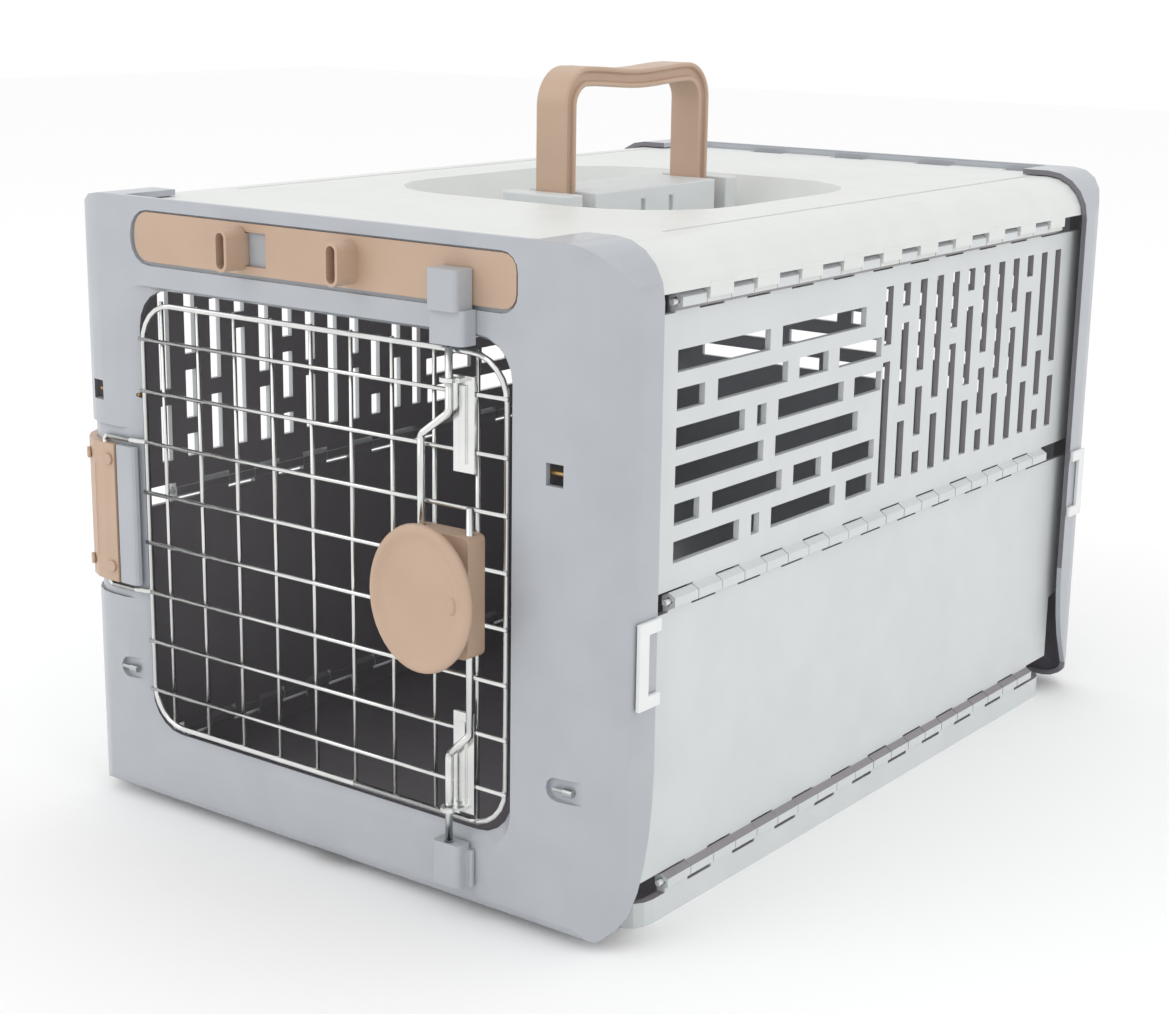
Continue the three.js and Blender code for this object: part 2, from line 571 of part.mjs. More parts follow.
// ---------------------------------------------------------------- handle
const LEG_MID = HANDLE_HALF - BAND_T / 2;
const BLOCK_END = HANDLE_HALF + 14;

function handleBlock() {
  let block = prism('z', rounded(-22, 22, HANDLE_Y - BLOCK_END, HANDLE_Y + BLOCK_END, 4, 3),
    RECESS_FLOOR + 0.3, BLOCK_TOP);
  for (const side of [-1, 1]) {
    const y = HANDLE_Y + side * LEG_MID;
    block = block.subtract(box(-30, 30, y - BAND_T / 2 - 0.6, y + BAND_T / 2 + 0.6,
      HANDLE_PIVOT_Z - BAND_X / 2 - 0.7, BLOCK_TOP + 6));
    block = block.subtract(cylinder('y', 0, HANDLE_PIVOT_Z, HANDLE_HOLE_R, y - 12, y + 12, 8));
    block = block.subtract(box(19, 30, HANDLE_Y + side * 13 - 2, HANDLE_Y + side * 13 + 2,
      HANDLE_PIVOT_Z, HANDLE_PIVOT_Z + 8));
  }
  return block;
}

function handle() {
  const low = HANDLE_Y - HANDLE_HALF;
  const high = HANDLE_Y + HANDLE_HALF;
  const top = HANDLE_PIVOT_Z + HANDLE_RISE;
  const hoop = prism('x', rounded(low, high, HANDLE_PIVOT_Z, top, [0, 0, 20, 20], 6), -BAND_X / 2, BAND_X / 2)
    .subtract(prism('x', rounded(low + BAND_T, high - BAND_T, HANDLE_PIVOT_Z - 1, top - BAND_T - 1,
      [0, 0, 10, 10], 5), -BAND_X, BAND_X));
  let body = hoop;
  for (const side of [-1, 1]) {
    const y = HANDLE_Y + side * LEG_MID;
    body = body.add(cylinder('y', 0, HANDLE_PIVOT_Z, BAND_X / 2, y - BAND_T / 2, y + BAND_T / 2, 16));
    body = body.subtract(cylinder('y', 0, HANDLE_PIVOT_Z, HANDLE_HOLE_R, y - BAND_T, y + BAND_T, 8));
  }
  return body;
}

addNode('handle_block', handleBlock(), PALE_GREY, 0.5);
addNode('handle', handle(), BEIGE, 0.45);
for (const [end, side] of [['front', -1], ['rear', 1]]) {
  const y = HANDLE_Y + side * LEG_MID;
  const pin = cylinder('y', 0, HANDLE_PIVOT_Z, HANDLE_PIN_R, y - 11, y + 11, 8);
  addNode(`handle_pin_${end}`, pin, STEEL, 0.3, 0.9);
}

// ---------------------------------------------------------------- latch bars and grips
const GRIP_Z = (BAR_B + BAR_T) / 2;
const stadium = (x, halfW, halfH) => rounded(x - halfW, x + halfW, GRIP_Z - halfH, GRIP_Z + halfH,
  halfW - 0.01, 4);

function grip(x) {
  return prism('y', stadium(x, 4.2, 10), FACE_Y - 13, FACE_Y + 0.2)
    .subtract(prism('y', stadium(x, 2.6, 8.4), FACE_Y - 14, FACE_Y - 2));
}

function latchBar() {
  let bar = prism('y', rounded(-BAR_HALF, BAR_HALF, BAR_B, BAR_T, [9, 7, 7, 9], 4),
    FACE_Y + 0.2, FACE_Y + 1.9);
  bar = bar.add(grip(GRIP_X[1]));
  return bar.subtract(box(GRIP_X[0] - 4.2, GRIP_X[0] + 4.2 + GRIP_TRAVEL, FACE_Y - 1, FACE_Y + 3,
    GRIP_Z - 8, GRIP_Z + 8));
}

function slider() {
  const stem = box(GRIP_X[0] - 3.8, GRIP_X[0] + 3.8, FACE_Y - 0.3, FACE_Y + 1.9, GRIP_Z - 7.6, GRIP_Z + 7.6);
  return grip(GRIP_X[0]).subtract(box(-100, 0, FACE_Y - 0.2, FACE_Y + 1, 0, HEIGHT)).add(stem);
}

addNode('front_latch_bar', latchBar(), BEIGE, 0.45);
addNode('front_latch_slider', slider(), BEIGE, 0.45);
addNode('rear_latch_bar', turned(latchBar()), BEIGE, 0.45);
addNode('rear_latch_slider', turned(slider()), BEIGE, 0.45);

// ---------------------------------------------------------------- small fittings on the front shell
const catchPin = (from, to) => cylinder('x', CATCH_Y, CATCH_Z, CATCH_R, from, to, 8);
addNode('catch_pin_right', catchPin(OPEN_R + 1, HALF_W - 21.3), BRASS, 0.4, 0.8);
addNode('catch_pin_left', catchPin(18 - HALF_W, OPEN_L - 1.5), BRASS, 0.4, 0.8);
LOW_SCREWS.forEach(([x, z], i) => {
  const y = FACE_Y + 0.3;
  const shank = cylinder('x', y, z, LOW_SCREW_R, x - 6, x + 1, 8);
  const head = cylinder('x', y, z, LOW_SCREW_R + 0.8, x, x + 5, 10);
  addNode(`low_screw_${['right', 'left'][i]}`, shank.add(head), STEEL, 0.3, 0.9);
});

// C-shaped clip on the flange: side is 1 on the right, -1 on the left
function sideClip(side) {
  const inner = side * (HALF_W + 0.3);
  const outer = inner + side * CLIP_T;
  const span = [Math.min(inner, outer), Math.max(inner, outer)];
  const spine = box(...span, FACE_Y + 20, FACE_Y + 27, CLIP_B, CLIP_TOP);
  const upper = box(...span, FACE_Y + 20, FACE_Y + FLANGE, CLIP_TOP - CLIP_ARM, CLIP_TOP);
  const lower = box(...span, FACE_Y + 20, FACE_Y + FLANGE, CLIP_B, CLIP_B + CLIP_ARM);
  return spine.add(upper).add(lower);
}

addNode('clip_front_right', sideClip(1), WHITE, 0.4);
addNode('clip_rear_left', turned(sideClip(1)), WHITE, 0.4);
addNode('clip_front_left', sideClip(-1), WHITE, 0.4);
addNode('clip_rear_right', turned(sideClip(-1)), WHITE, 0.4);

// ---------------------------------------------------------------- door
function doorMesh() {
  const bodies = [];
  const crossZ = (j) => FIRST_Z - j * MESH_Z;
  for (let i = 0; i < WIRES_UP; i += 1) {
    const x = FIRST_X + i * MESH_X;
    bodies.push(cylinder('z', x, UPRIGHT_Y, WIRE_R, FRAME_B - 1.6, FRAME_T + 1.6, 5));
  }
  for (let j = 0; j < WIRES_ACROSS; j += 1) {
    bodies.push(cylinder('x', CROSS_Y, crossZ(j), WIRE_R, FRAME_L - 2, FRAME_RIGHT + 1.2, 5));
  }
  // the rounded frame, as a square-section ring turned round
  const frameY = (CROSS_Y + UPRIGHT_Y) / 2;
  const ring = (grow) => rounded(FRAME_L - grow, FRAME_RIGHT + grow, FRAME_B - grow, FRAME_T + grow,
    FRAME_CORNER + grow, 4);
  bodies.push(loft('y', ring(0.6), frameY - FRAME_R, ring(FRAME_R), frameY - 0.6)
    .add(prism('y', ring(FRAME_R), frameY - 0.6, frameY + 0.6))
    .add(loft('y', ring(FRAME_R), frameY + 0.6, ring(0.6), frameY + FRAME_R))
    .subtract(prism('y', ring(-FRAME_R), frameY - 2, frameY + 2)));
  // the two wires that run on to the pivot rod
  const top = crossZ(LOOP_TOP);
  const bottom = crossZ(LOOP_BOTTOM);
  bodies.push(wire([[FRAME_L, CROSS_Y, top], [FRAME_L - 9, DOOR_Y, top], [DOOR_X, DOOR_Y, top],
    [DOOR_X, DOOR_Y, bottom], [FRAME_L - 9, DOOR_Y, bottom], [FRAME_L, CROSS_Y, bottom]], ROD_R));
  return union(bodies);
}

addNode('door_mesh', doorMesh(), CHROME, 0.25, 0.95);

// hinge plate round the shell's edge, hinge block beside it
const SCREWS = [PLATE_T - SCREW_IN, PLATE_B + SCREW_IN].flatMap((z) => SCREW_X.map((x) => [x, z]));

function plateBand(out, depth) {
  return cap(-out).subtract(cap(depth, true));
}

function hingePlate() {
  let plate = plateBand(PLATE_PROUD, 1.3).intersect(
    box(-HALF_W - 5, 33 - HALF_W, FACE_Y - 5, FACE_Y + 17, PLATE_B, PLATE_T));
  plate = plate.subtract(box(DOOR_X - ROD_R - 0.5, DOOR_X + ROD_R + 0.5, DOOR_Y - ROD_R - 0.4, FACE_Y + 8,
    PLATE_B - 1, PLATE_T + 1));
  plate = plate.subtract(box(17 - HALF_W, 18.8 - HALF_W, FACE_Y - 5, FACE_Y - 1.2,
    PLATE_B + 12, PLATE_T - 12));
  for (const [x, z] of SCREWS) plate = plate.subtract(squareToPlate(x, z, SCREW_HOLE_R, -1.6, 1.4));
  return plate;
}

// a round bar standing square to the plate at x, from one height over its face to another
function squareToPlate(x, z, r, from, to) {
  const centre = [-HALF_W + EDGE_R, FACE_Y + EDGE_R];
  const plateR = EDGE_R + PLATE_PROUD;
  const lean = x < centre[0] ? Math.asin((centre[0] - x) / plateR) : 0;
  const out = new THREE.Vector3(-Math.sin(lean), -Math.cos(lean), 0);
  const bar = new THREE.CylinderGeometry(r, r, to - from, 10);
  bar.translate(0, (from + to) / 2, 0);
  bar.applyQuaternion(new THREE.Quaternion().setFromUnitVectors(new THREE.Vector3(0, 1, 0), out));
  bar.translate(x, centre[1] - plateR * Math.cos(lean), z);
  return solid(bar);
}

const screw = (x, z) => squareToPlate(x, z, 3, 0.03, 1.42).add(squareToPlate(x, z, 1.1, -1.1, 0.1));

addNode('hinge_plate', hingePlate(), BEIGE, 0.45);
SCREWS.forEach(([x, z], i) => addNode(`hinge_screw_${i + 1}`, screw(x, z), DARK_BEIGE, 0.4));
const besidePlate = rounded(33.4 - HALF_W, OPEN_L - 1.5, FACE_Y - 2.4, FACE_Y + 1.3, [2, 3, 0, 0], 3);
addNode('hinge_block', prism('z', besidePlate, PLATE_B, PLATE_T), BLUE_GREY, 0.42);

// ---------------------------------------------------------------- door latch
function latchBox() {
  let body = prism('y', rounded(KNOB_X - BOX_HALF, KNOB_X + BOX_HALF, KNOB_Z - BOX_HALF_Z,
    KNOB_Z + BOX_HALF_Z, 3, 3), BOX_FRONT, BOX_BACK);
  body = body.subtract(box(KNOB_X - BOX_HALF + 2.2, KNOB_X + BOX_HALF - 2.2, BOX_FRONT + 2.5, BOX_BACK + 1,
    KNOB_Z - BOX_HALF_Z + 2.5, KNOB_Z + BOX_HALF_Z - 2.5));
  body = body.subtract(cylinder('y', KNOB_X, KNOB_Z, 4.9, BOX_FRONT - 1, BOX_FRONT + 4, 12));
  for (const side of [-1, 1]) {
    body = body.subtract(cylinder('z', KNOB_X + side * CRANK, ROD_Y, LATCH_ROD_R + 0.45,
      KNOB_Z - 40, KNOB_Z + 40, 8));
  }
  return body;
}

function knob() {
  const face = FACE_Y - 25;
  const oval = (rx, rz) => circle(0, 0, 1, 24).map(([u, v]) => [KNOB_X + u * rx, KNOB_Z + v * rz]);
  const disc = prism('y', oval(29, 34), face + 1.2, face + 5)
    .add(loft('y', oval(27.5, 32.5), face, oval(29, 34), face + 1.2));
  const shaft = cylinder('y', KNOB_X, KNOB_Z, 4.3, face + 4, FACE_Y - 1.6, 12);
  const hub = cylinder('y', KNOB_X, KNOB_Z, 12, face + 4, BOX_FRONT - 0.5, 16);
  const crank = box(KNOB_X - 13, KNOB_X + 13, FACE_Y - 3.2, FACE_Y - 1.4, KNOB_Z - 3, KNOB_Z + 3);
  return disc.add(shaft).add(hub).add(crank);
}

addNode('latch_box', latchBox(), DARK_BEIGE, 0.45);
addNode('latch_knob', knob(), BEIGE, 0.45);

const UP_X = KNOB_X - CRANK;
const DOWN_X = KNOB_X + CRANK;
const latchRod = (stations) => wire(stations.map(([x, z]) => [x, ROD_Y, z]), LATCH_ROD_R);
addNode('upper_rod', latchRod([[UP_X, KNOB_Z - CRANK], [UP_X, OPEN_T - 45], [TIP_X, OPEN_T - 33],
  [TIP_X, KEEPER_MOUTH_T - TIP_GAP]]), CHROME, 0.25, 0.95);
addNode('lower_rod', latchRod([[DOWN_X, KNOB_Z + BOX_HALF_Z + 12], [DOWN_X, OPEN_B + 49],
  [TIP_X, OPEN_B + 37], [TIP_X, KEEPER_MOUTH_B + TIP_GAP]]), CHROME, 0.25, 0.95);

// pressed strips on the wires, each with an eye round its rod
function guide(low, high, eyeZ) {
  const strip = box(TIP_X - 1, TIP_X + 11, FACE_Y - 1.3, FACE_Y + 0.3, low, high)
    .add(box(TIP_X + 3.4, TIP_X + 6.6, FACE_Y - 2.5, FACE_Y - 1, low + 4, high - 4));
  const eye = prism('z', circle(TIP_X, ROD_Y, LATCH_ROD_R + 2.45, 12), eyeZ - 1, eyeZ + 1)
    .add(box(TIP_X - 1, TIP_X + 6, ROD_Y, FACE_Y - 0.5, eyeZ - 1, eyeZ + 1))
    .subtract(cylinder('z', TIP_X, ROD_Y, LATCH_ROD_R + 0.6, eyeZ - 3, eyeZ + 3, 10));
  return strip.add(eye);
}

const upperEnd = OPEN_T - GUIDE_END;
const lowerEnd = OPEN_B + GUIDE_FOOT;
addNode('upper_guide', guide(KNOB_Z + BOX_HALF_Z + GUIDE_ABOVE, upperEnd, upperEnd - 1.5), CHROME, 0.3, 0.9);
addNode('lower_guide', guide(lowerEnd, KNOB_Z - BOX_HALF_Z - GUIDE_BELOW, lowerEnd + 2), CHROME, 0.3, 0.9);

// keepers on the shell, one above and one below the door
function keeper(block, bracket, mouthA, mouthB) {
  return block.add(bracket).subtract(cylinder('z', TIP_X, ROD_Y, LATCH_ROD_R + 0.5, mouthA, mouthB, 8));
}

addNode('top_keeper', keeper(
  prism('z', rounded(TIP_X - 8, TIP_X + 9, FACE_Y - 12, FACE_Y - 0.4, [2.5, 2.5, 0, 0], 3),
    KEEPER_MOUTH_T + 15, KEEPER_MOUTH_T + 33),
  prism('z', rounded(TIP_X - 9, TIP_X + 11, FACE_Y - 9.5, FACE_Y - 0.4, [2.5, 2.5, 0, 0], 3),
    KEEPER_MOUTH_T, KEEPER_MOUTH_T + 15.5), KEEPER_MOUTH_T - 1, KEEPER_MOUTH_T + 14), BLUE_GREY, 0.42);
addNode('bottom_keeper', keeper(
  prism('z', rounded(TIP_X - 8, TIP_X + 8, FACE_Y - 9, FACE_Y - 0.4, [2.5, 2.5, 0, 0], 3),
    KEEPER_MOUTH_B - 21, KEEPER_MOUTH_B),
  prism('z', rounded(TIP_X - 11, TIP_X + 11, FACE_Y - 3, FACE_Y - 0.4, [1, 1, 0, 0], 3),
    KEEPER_MOUTH_B - 21, KEEPER_MOUTH_B - 3), KEEPER_MOUTH_B - 15, KEEPER_MOUTH_B + 1), BLUE_GREY, 0.42);

export default part;
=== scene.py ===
# %% [markdown]
# # A folding pet carrier with a wire door
# The carrier is two moulded end shells on a floor tray, side walls that fold on long hinges, a roof
# that sinks between them, and a door of welded wire. The frame already holds every part at its size
# and place, so this lesson gives the parts their surfaces: soft moulded edges, drawn wire, a turned
# knob, and a material for each finish.

# %% Load the frame
import json
from math import cos, pi, radians, sin, tan

import bmesh
import bpy
from mathutils import Matrix, Vector


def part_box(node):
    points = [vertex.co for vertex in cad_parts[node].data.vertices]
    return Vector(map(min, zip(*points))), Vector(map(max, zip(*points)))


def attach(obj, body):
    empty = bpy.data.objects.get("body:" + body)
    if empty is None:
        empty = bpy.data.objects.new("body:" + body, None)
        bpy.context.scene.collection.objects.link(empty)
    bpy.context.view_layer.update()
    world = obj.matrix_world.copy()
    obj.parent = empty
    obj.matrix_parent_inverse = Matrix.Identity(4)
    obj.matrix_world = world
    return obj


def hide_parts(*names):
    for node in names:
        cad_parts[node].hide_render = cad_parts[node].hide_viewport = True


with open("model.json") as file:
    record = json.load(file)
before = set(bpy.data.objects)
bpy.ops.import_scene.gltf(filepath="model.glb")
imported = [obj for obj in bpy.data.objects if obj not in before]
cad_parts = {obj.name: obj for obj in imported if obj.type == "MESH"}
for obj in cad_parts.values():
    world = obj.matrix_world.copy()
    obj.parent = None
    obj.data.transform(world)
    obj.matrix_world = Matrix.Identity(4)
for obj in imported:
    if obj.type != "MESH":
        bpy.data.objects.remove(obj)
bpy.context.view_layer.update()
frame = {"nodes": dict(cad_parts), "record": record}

MM = 0.001
node_body = {n: body for body, nodes in frame["record"]["behaviour"]["bodies"].items() for n in nodes}
node_slot = {row["node"]: row["material_slot"] for row in frame["record"]["subparts"]}

# %% [markdown]
# ## The camera
# A camera looks along its own -Z. Turning it with three angles in a row is easy to get wrong, so the
# three axes are worked out as vectors and written into its matrix as columns: right, up and backwards.

# %% Camera
CAMERA_AT = Vector((0.6695, -0.9410, 0.4239))
TURN_LEFT, LOOK_DOWN, ROLL = 0.639, 0.248, 0.015
LENS_MM = 65.03

forward = Vector((-sin(TURN_LEFT) * cos(LOOK_DOWN), cos(TURN_LEFT) * cos(LOOK_DOWN), -sin(LOOK_DOWN)))
level_right = forward.cross(Vector((0, 0, 1))).normalized()
level_up = level_right.cross(forward)
right = level_right * cos(ROLL) + level_up * sin(ROLL)
up = level_up * cos(ROLL) - level_right * sin(ROLL)
camera = bpy.data.objects.new("camera", bpy.data.cameras.new("camera"))
camera.data.lens = LENS_MM
camera.matrix_world = Matrix.Translation(CAMERA_AT) @ Matrix((right, up, -forward)).transposed().to_4x4()
bpy.context.scene.collection.objects.link(camera)
bpy.context.scene.camera = camera
print("camera looks along", [round(v, 3) for v in forward])

# %% [markdown]
# ## The studio
# White plastic on a white floor needs light from everywhere: a small lamp would burn a hard spot on
# every rounded edge. A white sky gives most of it here, and three large weak lamps add direction. The
# key stands at the front left, one lamp stands at the right and one hangs above.

# %% Floor, world and lamps
def area_lamp(name, at, towards, size, watts):
    """A square soft lamp that faces a point."""
    lamp = bpy.data.objects.new(name, bpy.data.lights.new(name, "AREA"))
    lamp.data.size = size
    lamp.data.energy = watts
    lamp.location = at
    lamp.rotation_euler = (Vector(towards) - Vector(at)).to_track_quat("-Z", "Y").to_euler()
    bpy.context.scene.collection.objects.link(lamp)


FLOOR_HALF = 6
FLOOR_WHITE = (0.97, 0.97, 0.97, 1)
LAMPS = {  # place, size and watts
    "key": ((-0.9, -1.9, 1.7), 1.6, 8),
    "side": ((2.2, -0.1, 1.3), 1.4, 3),
    "top": ((0.1, 0.5, 2.3), 1.8, 2),
}
MIDDLE = (0, 0, 0.15)

floor_mesh = bmesh.new()
bmesh.ops.create_grid(floor_mesh, x_segments=1, y_segments=1, size=FLOOR_HALF)
floor_data = bpy.data.meshes.new("studio_floor")
floor_mesh.to_mesh(floor_data)
floor_mesh.free()
studio_floor = bpy.data.objects.new("studio_floor", floor_data)
bpy.context.scene.collection.objects.link(studio_floor)
floor_paint = bpy.data.materials.new("floor_paint")
floor_paint.use_nodes = True
floor_shader = floor_paint.node_tree.nodes["Principled BSDF"]
floor_shader.inputs["Base Color"].default_value = FLOOR_WHITE
floor_shader.inputs["Roughness"].default_value = 0.9
floor_data.materials.append(floor_paint)

world = bpy.data.worlds.new("studio")
world.use_nodes = True
sky = world.node_tree.nodes["Background"]
sky.inputs["Color"].default_value = (1, 1, 1, 1)
sky.inputs["Strength"].default_value = 1.0
bpy.context.scene.world = world
bpy.context.scene.view_settings.view_transform = "Standard"
for name, (at, size, watts) in LAMPS.items():
    area_lamp(name, at, MIDDLE, size, watts)
print("lamps", sorted(LAMPS))

# %% [markdown]
# ## Moulded plastic
# A mould leaves three things on plastic: a colour that drifts a little where the melt flowed, a fine
# grain, and patches that shine more where hands have polished them. Each is a noise at its own scale.
# The noises read Object coordinates, which are metres here, so one scale suits every part. Faces that
# look into the cabin carry an attribute, and there the colour is multiplied by a painted shade that
# stands in for the shadow inside the closed cabin.

# %% A material made from noises
NOISE_LOW, NOISE_HIGH = 0.3, 0.7      # nearly every value of a noise lies between these
DARK_END, LIGHT_END = 0.35, 0.65      # where the two shades of a finish are reached
SHINE_TO_DRIFT = 4                    # patches of shine are this much finer than drifts of colour
GRAIN_STRENGTH = 0.35
# painted shade: the colour of faces that look into the cabin is multiplied by this, in place of their shadow
PAINTED_CABIN_SHADE = (0.42, 0.38, 0.40, 1)


def noise(tree, scale, detail=3.0):
    """Noise in object space; its value comes out of Fac."""
    place = tree.nodes.new("ShaderNodeTexCoord")
    node = tree.nodes.new("ShaderNodeTexNoise")
    node.inputs["Scale"].default_value = scale
    node.inputs["Detail"].default_value = detail
    tree.links.new(place.outputs["Object"], node.inputs["Vector"])
    return node.outputs["Fac"]


def spread(tree, value, low, high):
    """The middle of a noise stretched from low to high."""
    node = tree.nodes.new("ShaderNodeMapRange")
    node.inputs["From Min"].default_value = NOISE_LOW
    node.inputs["From Max"].default_value = NOISE_HIGH
    node.inputs["To Min"].default_value = low
    node.inputs["To Max"].default_value = high
    tree.links.new(value, node.inputs["Value"])
    return node.outputs["Result"]


def shaded_inside(tree, colour):
    """The colour with painted shade: darkened on faces whose attribute says that they look into the cabin."""
    marked = tree.nodes.new("ShaderNodeAttribute")
    marked.attribute_name = "inside"
    shade = tree.nodes.new("ShaderNodeMixRGB")
    shade.blend_type = "MULTIPLY"
    shade.inputs["Color2"].default_value = PAINTED_CABIN_SHADE
    tree.links.new(marked.outputs["Fac"], shade.inputs["Fac"])
    tree.links.new(colour, shade.inputs["Color1"])
    return shade.outputs["Color"]


def finish_of(name, dark, light, roughness, drift=40, grain=1500, depth=0.02, metal=0.0, coat=0.0):
    """One finish: two drifting shades, a range of roughness and a fine grain, depth in millimetres."""
    made = bpy.data.materials.new(name)
    made.use_nodes = True
    tree = made.node_tree
    shader = tree.nodes["Principled BSDF"]
    ramp = tree.nodes.new("ShaderNodeValToRGB")
    for end, position, colour in zip(ramp.color_ramp.elements, (DARK_END, LIGHT_END), (dark, light)):
        end.position = position
        end.color = (*colour, 1)
    tree.links.new(noise(tree, drift), ramp.inputs["Fac"])
    # the base colour carries the painted shade on faces that look into the cabin
    tree.links.new(shaded_inside(tree, ramp.outputs["Color"]), shader.inputs["Base Color"])
    shine = noise(tree, drift * SHINE_TO_DRIFT)
    tree.links.new(spread(tree, shine, *roughness), shader.inputs["Roughness"])
    bump = tree.nodes.new("ShaderNodeBump")
    bump.inputs["Strength"].default_value = GRAIN_STRENGTH
    bump.inputs["Distance"].default_value = depth * MM
    tree.links.new(noise(tree, grain, 1.0), bump.inputs["Height"])
    tree.links.new(bump.outputs["Normal"], shader.inputs["Normal"])
    shader.inputs["Metallic"].default_value = metal
    shader.inputs["Coat Weight"].default_value = coat
    return made


FINISH = {
    "blue_grey_plastic": finish_of("blue_grey", (0.415, 0.437, 0.470), (0.435, 0.457, 0.490),
                                   (0.28, 0.36), coat=0.15),
    "pale_grey_plastic": finish_of("pale_grey", (0.620, 0.648, 0.655), (0.645, 0.673, 0.680), (0.38, 0.50)),
    "roof_plastic": finish_of("roof_white", (0.700, 0.716, 0.700), (0.722, 0.738, 0.722), (0.36, 0.48)),
    "beige_plastic": finish_of("beige", (0.500, 0.355, 0.258), (0.525, 0.375, 0.274), (0.36, 0.46)),
    "white_plastic": finish_of("clip_white", (0.780, 0.790, 0.790), (0.820, 0.830, 0.830), (0.34, 0.44)),
    "chromed_wire": finish_of("chromed", (0.70, 0.71, 0.70), (0.78, 0.79, 0.77), (0.14, 0.26),
                              drift=60, grain=900, depth=0.01, metal=1.0),
    "steel_pin": finish_of("steel", (0.42, 0.43, 0.43), (0.52, 0.53, 0.53), (0.28, 0.42),
                           drift=90, grain=1200, metal=1.0),
    "brass_pin": finish_of("brass", (0.42, 0.27, 0.10), (0.54, 0.37, 0.17), (0.30, 0.45),
                           drift=120, grain=1200, metal=1.0),
}
print("finishes", sorted(FINISH))

# %% [markdown]
# ## Handing a piece over
# Every new piece ends the same way: it gets its finish, it moves with a body of the frame, and the part
# of the frame that it stands for is hidden. One function does it, so no piece can miss a step. A piece
# drawn here has its faces turned outwards first, and a copy of a part already has them so. A smooth
# piece with soft edges needs one thing more: its large faces outweigh its narrow ones where normals
# are averaged, or each flat would shade like a pillow.

# %% Place a finished bmesh
SHARP_TURN = radians(32)
EDGE_SEGMENTS = 2


def hand_over(shape, name, node, bevel=0.0, turn_out=True, smooth=True):
    """Makes the piece that stands for a CAD node; bevel is the width of its softened edges."""
    if turn_out:
        bmesh.ops.recalc_face_normals(shape, faces=shape.faces)
    data = bpy.data.meshes.new(name)
    shape.to_mesh(data)
    shape.free()
    for face in data.polygons:
        face.use_smooth = smooth
    piece = bpy.data.objects.new(name, data)
    bpy.context.scene.collection.objects.link(piece)
    data.materials.append(FINISH[node_slot[node]])
    if bevel:
        soft = piece.modifiers.new("soft_edges", "BEVEL")
        soft.width = bevel
        soft.segments = EDGE_SEGMENTS
        soft.limit_method = "ANGLE"
        soft.angle_limit = SHARP_TURN
        if smooth:
            piece.modifiers.new("flat_faces_stay_flat", "WEIGHTED_NORMAL").keep_sharp = True
    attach(piece, node_body[node])
    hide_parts(node)


# %% [markdown]
# ## The moulded parts
# The shells, walls and roof already have the right form, but their edges are knife-sharp and their
# round corners are flat strips. A mould can't cut a sharp edge. Drawing the parts again would risk
# losing the fits, so each is a merged copy: the flats are joined, smooth shading runs over the gentle
# turns, and a Bevel modifier rounds whatever turns sharper than 32 degrees and catches the light.
# Parts with no round stretch keep flat shading. The vented walls keep their triangles, because one
# face can't be bent round so many slots.

# %% Which parts, and how soft
SOFT_EDGES = {
    "front_shell": 0.7, "rear_shell": 0.7, "roof_panel": 0.6, "floor_tray": 0.5,
    "lower_side_right": 0.4, "upper_side_right": 0.4, "lower_side_left": 0.4, "upper_side_left": 0.4,
    "front_latch_bar": 0.4, "rear_latch_bar": 0.4, "front_latch_slider": 0.4, "rear_latch_slider": 0.4,
    "handle_block": 0.8, "hinge_plate": 0.35, "hinge_block": 0.5, "latch_box": 0.7,
    "top_keeper": 0.7, "bottom_keeper": 0.6, "upper_guide": 0.2, "lower_guide": 0.2,
    "clip_front_right": 0.4, "clip_front_left": 0.4, "clip_rear_right": 0.4, "clip_rear_left": 0.4,
    "hinge_screw_1": 0.3, "hinge_screw_2": 0.3, "hinge_screw_3": 0.3, "hinge_screw_4": 0.3,
}
SIDE_WALLS = ("lower_side_right", "upper_side_right", "lower_side_left", "upper_side_left")
VENTED = ("upper_side_right", "upper_side_left")
FLAT = (*SIDE_WALLS, "handle_block", "hinge_plate", "hinge_block", "upper_guide", "lower_guide", "floor_tray")
# parts whose faces into the cabin are marked for painted shade
SHADE_PAINTED_PARTS = (*SIDE_WALLS, "front_shell", "rear_shell", "floor_tray", "roof_panel")
print("softened parts", len(SOFT_EDGES), "shade_painted parts", len(SHADE_PAINTED_PARTS))

# %% [markdown]
# ## Painted shade inside the cabin
# A face gets a painted shade, a darker colour that stands in for the shadow inside the closed cabin,
# when it lies within the walls and looks towards the middle of the cabin.
# Its normal tells: on a level face it points to mid-height, and on an upright one it points against
# the way from the middle to the face.

# %% Mark the painted shade and soften the parts
CABIN_X, CABIN_Y = 0.168, 0.2468      # half the width and length inside the walls
CABIN_TOP, CABIN_MID = 0.2865, 0.15   # the top stays below the handle's recess in the roof
LEVEL, TOWARDS = 0.7, 0.5
SAME_PLACE, SAME_PLANE = 2e-6, radians(0.5)


def looks_in(along_normal, along_centre):
    """True when one component of a normal points back towards the middle."""
    return along_normal * along_centre < -TOWARDS * abs(along_centre)


def faces_cabin(centre, normal):
    """True for a face that lies inside the cabin's walls and looks into the cabin."""
    if abs(centre.x) > CABIN_X or abs(centre.y) > CABIN_Y:
        return False
    if abs(normal.z) > LEVEL:
        return normal.z * (CABIN_MID - centre.z) > 0
    return centre.z < CABIN_TOP and (looks_in(normal.x, centre.x) or looks_in(normal.y, centre.y))


def mark_painted_shade(shape):
    """Marks the faces that look into the cabin, where the finishes paint shade in their colour."""
    inside = shape.faces.layers.float.new("inside")
    for face in shape.faces:
        face[inside] = float(faces_cabin(face.calc_center_median(), face.normal))


